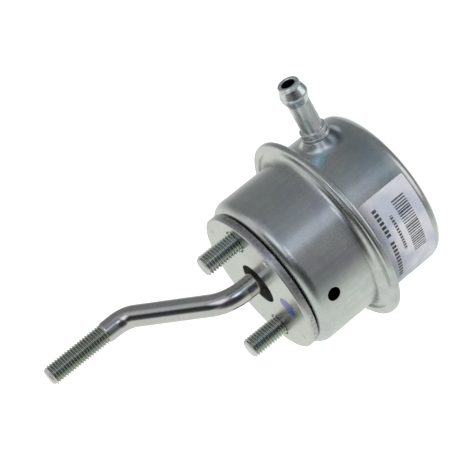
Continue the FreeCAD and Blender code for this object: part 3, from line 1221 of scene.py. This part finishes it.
@dataclass
class Nipple:
    """The hose nipple and its washer. The CAD nodes' shapes are kept."""

    place: Point = (27.15, 0.0, -39.0)
    lean: float = 2.9
    bore_radius: float = 2.2

    def streaked_and_bore_shaded(self, made: MaterialBuilder, colour: Value) -> Value:
        """Fine streaks along the nipple, and painted shade in its bore, dark teal.

        Args:
            made: The material being built.
            colour: Its colour so far.

        Returns:
            The colour with both.
        """
        lean = math.radians(self.lean)
        spoke = made.vector("SUBTRACT", made.where, mm(self.place))
        across = made.vector("CROSS_PRODUCT", spoke, (math.cos(lean), 0.0, math.sin(lean)))
        away = made.vector("LENGTH", across, out=1)
        brush = made.mapped(made.where, (70.0, 1500.0, 1500.0))
        streak = made.ramp(made.noise(brush, 1.0, 3.0, 0.6), 0.36, 0.62, 0.78, 1.08, smooth=False)
        # painted shade: the inside of the bore is dark teal
        inside = made.ramp(away, (self.bore_radius + 0.12) * MM, (self.bore_radius - 0.02) * MM)
        return made.blend(inside, made.tinted(colour, streak), (0.07, 0.12, 0.15))

    def dress(self, effects: Effects) -> None:
        """Gives both their turned finish, with painted shade in the nipple's bore.

        Args:
            effects: The shared groups.
        """
        material = NIPPLE_ZINC.build(effects, self.streaked_and_bore_shaded)
        for node in ("hose_nipple", "nipple_washer"):
            clothe(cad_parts[node], material)


@dataclass
class Label:
    """The paper label, with plain bars and dashes and no lettering."""

    radius: float = 27.15
    thickness: float = 0.12
    start: float = -155.95
    sweep: float = 99.8
    low: float = -48.65
    high: float = -31.0
    corner: float = 0.35
    bars: tuple[float, ...] = (0.195, 0.465, 0.477, 0.905, 54.0)
    dashes: tuple[tuple[float, ...], ...] = (
        (0.580, 0.640, 0.556, 0.831, 46.0, 3.0), (0.770, 0.860, 0.713, 0.933, 32.0, 11.0),
        (0.770, 0.860, 0.313, 0.685, 32.0, 5.0))

    def material(self, effects: Effects) -> Material:
        """Coated paper with black print, laid out on shares of the sheet's length and height.

        Args:
            effects: The shared groups.

        Returns:
            The material.
        """
        made = MaterialBuilder("Paper, coated label")
        along, up, _ = made.axes(made.put("ShaderNodeUVMap", {}, uv_map="sheet"))

        def within(value: Value, low: float, high: float) -> Value:
            """Marks what lies between two places.

            Args:
                value: The place along or up the sheet.
                low: Where it starts.
                high: Where it ends.

            Returns:
                1 between them and 0 outside, with a soft printed edge.
            """
            soft = 0.0006
            rise = made.ramp(value, low - soft, low + soft, smooth=False)
            return rise * made.ramp(value, high - soft, high + soft, 1.0, 0.0, smooth=False)

        def drawn(cell: Value) -> Value:
            """A random number for each cell."""
            return made.put("ShaderNodeTexWhiteNoise", {"W": cell}, noise_dimensions="1D")

        low, high, left, right, cells = self.bars
        place = along * cells
        width = made.ramp(drawn(made.calc("FLOOR", place)), 0.0, 1.0, 0.34, 0.78, smooth=False)
        ink = made.calc("LESS_THAN", made.calc("FRACT", place), width) * (
            within(along, left, right) * within(up, low, high))
        for low, high, left, right, cells, seed in self.dashes:
            place = along * cells
            dash = made.calc("LESS_THAN", made.calc("FRACT", place), 0.68)
            inked = made.calc("LESS_THAN", drawn(made.calc("FLOOR", place) + seed), 0.93)
            row = within(up, low, high) * within(along, left, right) * dash
            ink = made.calc("MAXIMUM", ink, row * inked)
        fade = made.ramp(made.noise(made.where, 900.0, 2.0), 0.3, 0.7, 0.86, 1.0)
        fibre = made.noise(made.where, 2600.0, 3.0, 0.6)
        shade = made.noise(made.where, 90.0, 3.0, 0.5)
        paper = made.blend(made.ramp(shade, 0.35, 0.65), (0.45, 0.48, 0.56), (0.66, 0.66, 0.69))
        marks = made.place(effects.marks, Roughness=0.42, Spread=0.08, Scratches=0.1)
        colour = made.blend(ink * fade, paper, (0.035, 0.035, 0.04))
        return made.finish(colour, marks["Roughness"], ((fibre, 4e-6), (shade, 3e-5)), 0.0)

    def build(self, effects: Effects) -> None:
        """Makes the curved sheet with rounded corners.

        Args:
            effects: The shared groups.
        """
        width = math.radians(self.sweep) * self.radius
        height = self.high - self.low
        across, up = 98, 20
        points, faces, spread = [], [], []
        for reach in (self.radius, self.radius + self.thickness):
            for row in range(up + 1):
                for column in range(across + 1):
                    a, b = self.eased(column / across * width, row / up * height, width, height)
                    angle = math.radians(self.start) + a / self.radius
                    points.append((reach * math.cos(angle), reach * math.sin(angle), self.low + b))
                    spread.append((a / width, b / height))
        line, lift = across + 1, (across + 1) * (up + 1)
        for row in range(up):
            for column in range(across):
                first = row * line + column
                quad = [first, first + 1, first + line + 1, first + line]
                faces += [[number + lift for number in quad], quad[::-1]]
        edge = [*range(line), *(row * line + across for row in range(1, up + 1)),
                *(up * line + column for column in range(across - 1, -1, -1)),
                *(row * line for row in range(up - 1, 0, -1))]
        for corner, after in zip(edge, edge[1:] + edge[:1]):
            faces.append([corner, after, after + lift, corner + lift])
        mesh = sheet("label_sheet", points, faces)
        layer = mesh.uv_layers.new(name="sheet")
        for loop in mesh.loops:
            layer.data[loop.index].uv = spread[loop.vertex_index]
        piece = piece_of("label_sheet", mesh, Body.HOUSING)
        clothe(piece, self.material(effects))
        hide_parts("label")

    def eased(self, a: float, b: float, width: float, height: float) -> Pair:
        """Draws the sheet's corner zones into quarter discs.

        Args:
            a: Place along the sheet.
            b: Place up the sheet.
            width: The sheet's length.
            height: The sheet's height.

        Returns:
            The place after rounding.
        """
        u = self.corner - min(a, width - a)
        v = self.corner - min(b, height - b)
        if u <= 0 or v <= 0:
            return a, b
        scale = max(u, v) / math.hypot(u, v)
        u, v = u * scale, v * scale
        return (self.corner - u if a < width / 2 else width - self.corner + u,
                self.corner - v if b < height / 2 else height - self.corner + v)


@dataclass
class PaintMark:
    """The inspector's dab of blue paint on the plate."""

    radius: float = 3.65
    thickness: float = 0.06
    edge: float = 0.012
    circle: float = 15.1
    angle: float = -100.6

    def build(self) -> None:
        """Makes the dab, thin at its edge and a little uneven."""
        cx = self.circle * math.cos(math.radians(self.angle))
        cy = self.circle * math.sin(math.radians(self.angle))
        sides, rings = 72, 10
        points: list[Point] = [(cx, cy, self.thickness)]
        for ring in range(1, rings + 1):
            share = ring / rings
            level = self.thickness * (1 - 0.35 * share**2) if ring < rings else self.edge
            for side in range(sides):
                angle = math.tau * side / sides
                uneven = 1 - 0.03 * (1 + math.sin(3 * angle + 0.6)) * share - 0.015 * (1 + math.sin(7 * angle))
                points.append((cx + self.radius * share * uneven * math.cos(angle),
                               cy + self.radius * share * uneven * math.sin(angle), level))
        faces = []
        for side in range(sides):
            over = (side + 1) % sides
            faces.append([0, 1 + side, 1 + over])
            for ring in range(rings - 1):
                low, high = 1 + ring * sides, 1 + (ring + 1) * sides
                faces.append([low + side, high + side, high + over, low + over])
        faces.append([1 + (rings - 1) * sides + side for side in range(sides)][::-1])
        piece = piece_of("paint_mark_dab", sheet("paint_mark_dab", points, faces), Body.HOUSING)
        clothe(piece, self.material())
        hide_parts("paint_mark")

    def material(self) -> Material:
        """Thin paint: deep blue where it pooled, violet and see-through thin at the other side.

        Returns:
            The material.
        """
        made = MaterialBuilder("Paint, blue inspection dab")
        x, y, _ = made.axes(made.where)
        patch = made.noise(made.where, 420.0, 3.0, 0.6)
        place = x * -0.75 + y * -0.66 + (patch - 0.5) * (1.6 * MM)
        pooled = made.ramp(place, 10.2 * MM, 14.2 * MM)
        colour = made.blend(pooled, (0.20, 0.19, 0.34), (0.018, 0.038, 0.15))
        brush = made.mapped(made.where, (300.0, 2600.0, 300.0), (0.0, 0.0, 0.8))
        return made.finish(colour, made.ramp(patch, 0.3, 0.7, 0.28, 0.42),
                           ((made.noise(brush, 1.0, 2.0), 4e-6),), made.ramp(pooled, 0.0, 1.0, 0.5, 0.12))


@dataclass
class InnerWorks:
    """What works inside the cans."""

    coil_radius: float = 17.0
    wire: float = 2.6
    coil_low: float = -44.55
    coil_high: float = -8.1
    turns: float = 6.5
    closed_pitch: float = 2.65
    seat: float = -6.75
    joint: float = -28.15
    travel: float = 12.0

    def build(self, effects: Effects, coil: Tree) -> None:
        """Dresses the inner CAD nodes, and makes the two pieces that change shape.

        Args:
            effects: The shared groups.
            coil: The coil tree.
        """
        finishes = {
            INNER_STEEL: ("spring_seat", "bush_housing", "piston", "piston_washer", "diaphragm_retainer",
                          "rivet_washer"),
            BUSH_BRONZE: ("guide_bush",),
            SEAL_RUBBER: ("dust_seal",),
        }
        for finish, nodes in finishes.items():
            material = finish.build(effects)
            for node in nodes:
                clothe(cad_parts[node], material)
        spring = grown("return_spring_coil", coil, {
            "Mean Radius": self.coil_radius, "Wire Diameter": self.wire, "Low": self.coil_low,
            "High": self.coil_high, "Closed Pitch": self.closed_pitch,
        }, {"Turns": self.turns, "Material": SPRING_STEEL.build(effects)}, Body.HOUSING, 50.0)
        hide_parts("return_spring")
        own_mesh(spring)
        self.diaphragm(effects)

    def diaphragm(self, effects: Effects) -> None:
        """Copies the diaphragm's CAD mesh into a piece with a mesh of its own.

        Args:
            effects: The shared groups.
        """
        piece = piece_of("diaphragm_cup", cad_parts["diaphragm"].data.copy(), Body.HOUSING)
        clothe(piece, DIAPHRAGM_RUBBER.build(effects))
        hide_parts("diaphragm")
        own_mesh(piece)


# Studio ----------------------------------------------------------------------------------------


@dataclass(frozen=True)
class SoftBox:
    """A soft light that polished metal mirrors, or a shade that dims what is there."""

    towards: Point
    inner: float
    outer: float
    colour: Colour
    shade: bool = False


@dataclass
class Studio:
    """The camera, the plain floor, the lamps and what the metal mirrors. Its lengths are in metres."""

    camera_place: Point = (0.2793, -0.3792, 0.1207)
    camera_right: Point = (-0.4046, -0.5126, -0.7573)
    camera_up: Point = (0.7386, 0.3052, -0.6012)
    lens: float = 127.17
    floor_height: float = -0.0518
    floor_reach: float = 6.0
    lamp_places: tuple[tuple[str, Point, float, float], ...] = (
        ("lamp_key", (0.35, -0.75, 0.75), 0.7, 9.0), ("lamp_fill", (-0.8, 0.2, 0.7), 0.9, 6.0))
    bright_side: Point = (-0.905, 0.25, 0.34)
    bright: Colour = (0.80, 0.84, 0.80)
    dim: Colour = (0.23, 0.242, 0.25)
    even: Colour = (0.62, 0.63, 0.65)
    boxes: tuple[SoftBox, ...] = (
        SoftBox((0.69, -0.71, 0.11), 2.0, 14.0, (0.95, 1.02, 1.22)),
        SoftBox((0.72, -0.34, 0.60), 4.0, 25.0, (0.85, 0.90, 0.97)),
        SoftBox((0.71, -0.66, -0.24), 2.0, 13.0, (0.42, 0.46, 0.56)),
        SoftBox((0.87, -0.50, 0.02), 6.0, 42.0, (0.06, 0.08, 0.12)),
        SoftBox((0.80, 0.23, 0.55), 5.0, 24.0, (0.26, 0.27, 0.28)),
        SoftBox((0.99, 0.00, 0.14), 4.0, 24.0, (0.13, 0.13, 0.13)),
        SoftBox((0.54, -0.50, -0.68), 4.0, 17.0, (0.60, 0.63, 0.68)),
        SoftBox((0.15, 0.72, -0.68), 8.0, 27.0, (0.32, 0.35, 0.36)),
        SoftBox((0.12, -0.57, -0.81), 9.0, 31.0, (0.88, 0.92, 0.92)),
        SoftBox((0.52, 0.46, 0.72), 8.0, 25.0, (0.36, 0.37, 0.37)),
        SoftBox((-0.03, -0.91, 0.41), 14.0, 43.0, (0.20, 0.20, 0.21), shade=True),
        SoftBox((0.30, -0.20, 0.93), 12.0, 31.0, (0.14, 0.15, 0.16), shade=True),
    )

    def build(self) -> None:
        """Sets up the whole studio."""
        self.camera()
        self.world()
        self.floor()
        self.lamps()
        bpy.context.scene.view_settings.view_transform = "Standard"

    def camera(self) -> None:
        """Puts the camera where the photograph was taken from."""
        data = bpy.data.cameras.new("camera")
        data.lens, data.sensor_width = self.lens, 36.0
        data.clip_start, data.clip_end = 0.01, 20.0
        camera = added("camera", data)
        right = Vector(self.camera_right).normalized()
        back = right.cross(Vector(self.camera_up)).normalized()
        turn = Matrix((right, back.cross(right), back)).transposed().to_4x4()
        camera.matrix_world = Matrix.Translation(self.camera_place) @ turn
        bpy.context.scene.camera = camera

    def world(self) -> None:
        """White for the camera; a bright side, a dim side and soft boxes for the metal."""
        world = bpy.data.worlds.new("studio")
        bpy.context.scene.world = world
        world.use_nodes = True
        world.node_tree.nodes.clear()
        sky = Nodes(world.node_tree)
        way = sky.vector("NORMALIZE", sky.put("ShaderNodeTexCoord", {}, "Generated"))

        def facing(towards: Point) -> Value:
            """How much the way points towards a place."""
            return sky.vector("DOT_PRODUCT", way, tuple(Vector(towards).normalized()), out=1)

        colour = sky.blend(sky.ramp(facing(self.bright_side), -0.15, 0.55), self.dim, self.bright)
        for box in self.boxes:
            limits = (math.cos(math.radians(angle)) for angle in (box.outer, box.inner))
            share = sky.ramp(facing(box.towards), *limits)
            colour = sky.blend(share, colour, box.colour, "MULTIPLY" if box.shade else "ADD")
        rays = sky.outs("ShaderNodeLightPath", {})
        mirrored = sky.calc("MAXIMUM", rays["Is Glossy Ray"], rays["Is Transmission Ray"])
        colour = sky.blend(mirrored, self.even, colour)
        colour = sky.blend(rays["Is Camera Ray"], colour, (1.0, 1.0, 1.0))
        background = sky.put("ShaderNodeBackground", {"Color": colour, "Strength": 1.0})
        sky.node("ShaderNodeOutputWorld", {0: background})

    def floor(self) -> None:
        """A plain pale floor that is white to the camera and keeps a soft shadow."""
        reach, corners = self.floor_reach, ((-1, -1), (1, -1), (1, 1), (-1, 1))
        mesh = bpy.data.meshes.new("floor")
        mesh.from_pydata([(x * reach, y * reach, self.floor_height) for x, y in corners], [], [(0, 1, 2, 3)])
        floor = added("floor", mesh)
        floor.visible_glossy = False
        material = bpy.data.materials.new("floor, plain pale")
        material.use_nodes = True
        material.node_tree.nodes.clear()
        nodes = Nodes(material.node_tree)
        matt = nodes.put("ShaderNodeBsdfDiffuse", {"Color": (0.42, 0.42, 0.42)})
        strength = nodes.put("ShaderNodeLightPath", {}, "Is Camera Ray") * 0.82
        glow = nodes.put("ShaderNodeEmission", {"Color": (1.0, 1.0, 1.0), "Strength": strength})
        both = nodes.put("ShaderNodeAddShader", {0: matt, 1: glow})
        nodes.node("ShaderNodeOutputMaterial", {"Surface": both})
        mesh.materials.append(material)

    def lamps(self) -> None:
        """Two large soft lamps. The metal mirrors the soft boxes of the world instead."""
        for name, place, size, power in self.lamp_places:
            data = bpy.data.lights.new(name, "AREA")
            data.shape, data.size, data.energy = "DISK", size, power
            lamp = added(name, data)
            lamp.location = place
            lamp.rotation_mode = "QUATERNION"
            lamp.rotation_quaternion = (-Vector(place)).to_track_quat("-Z", "Y")
            lamp.visible_glossy = False


def main() -> None:
    """Builds every sub-assembly and the studio, and reports the pieces."""
    logging.basicConfig(level=logging.INFO, format="%(name)s %(message)s")
    effects = Effects()
    thread = thread_tree()
    MountingPlate().dress(effects)
    Studs().build(effects, thread)
    ActuatorRod().build(effects, bent_bar_tree(), thread)
    Cans().build(effects)
    Nipple().dress(effects)
    Label().build(effects)
    PaintMark().build()
    InnerWorks().build(effects, coil_tree())
    Studio().build()


if __name__ == "__main__":
    main()
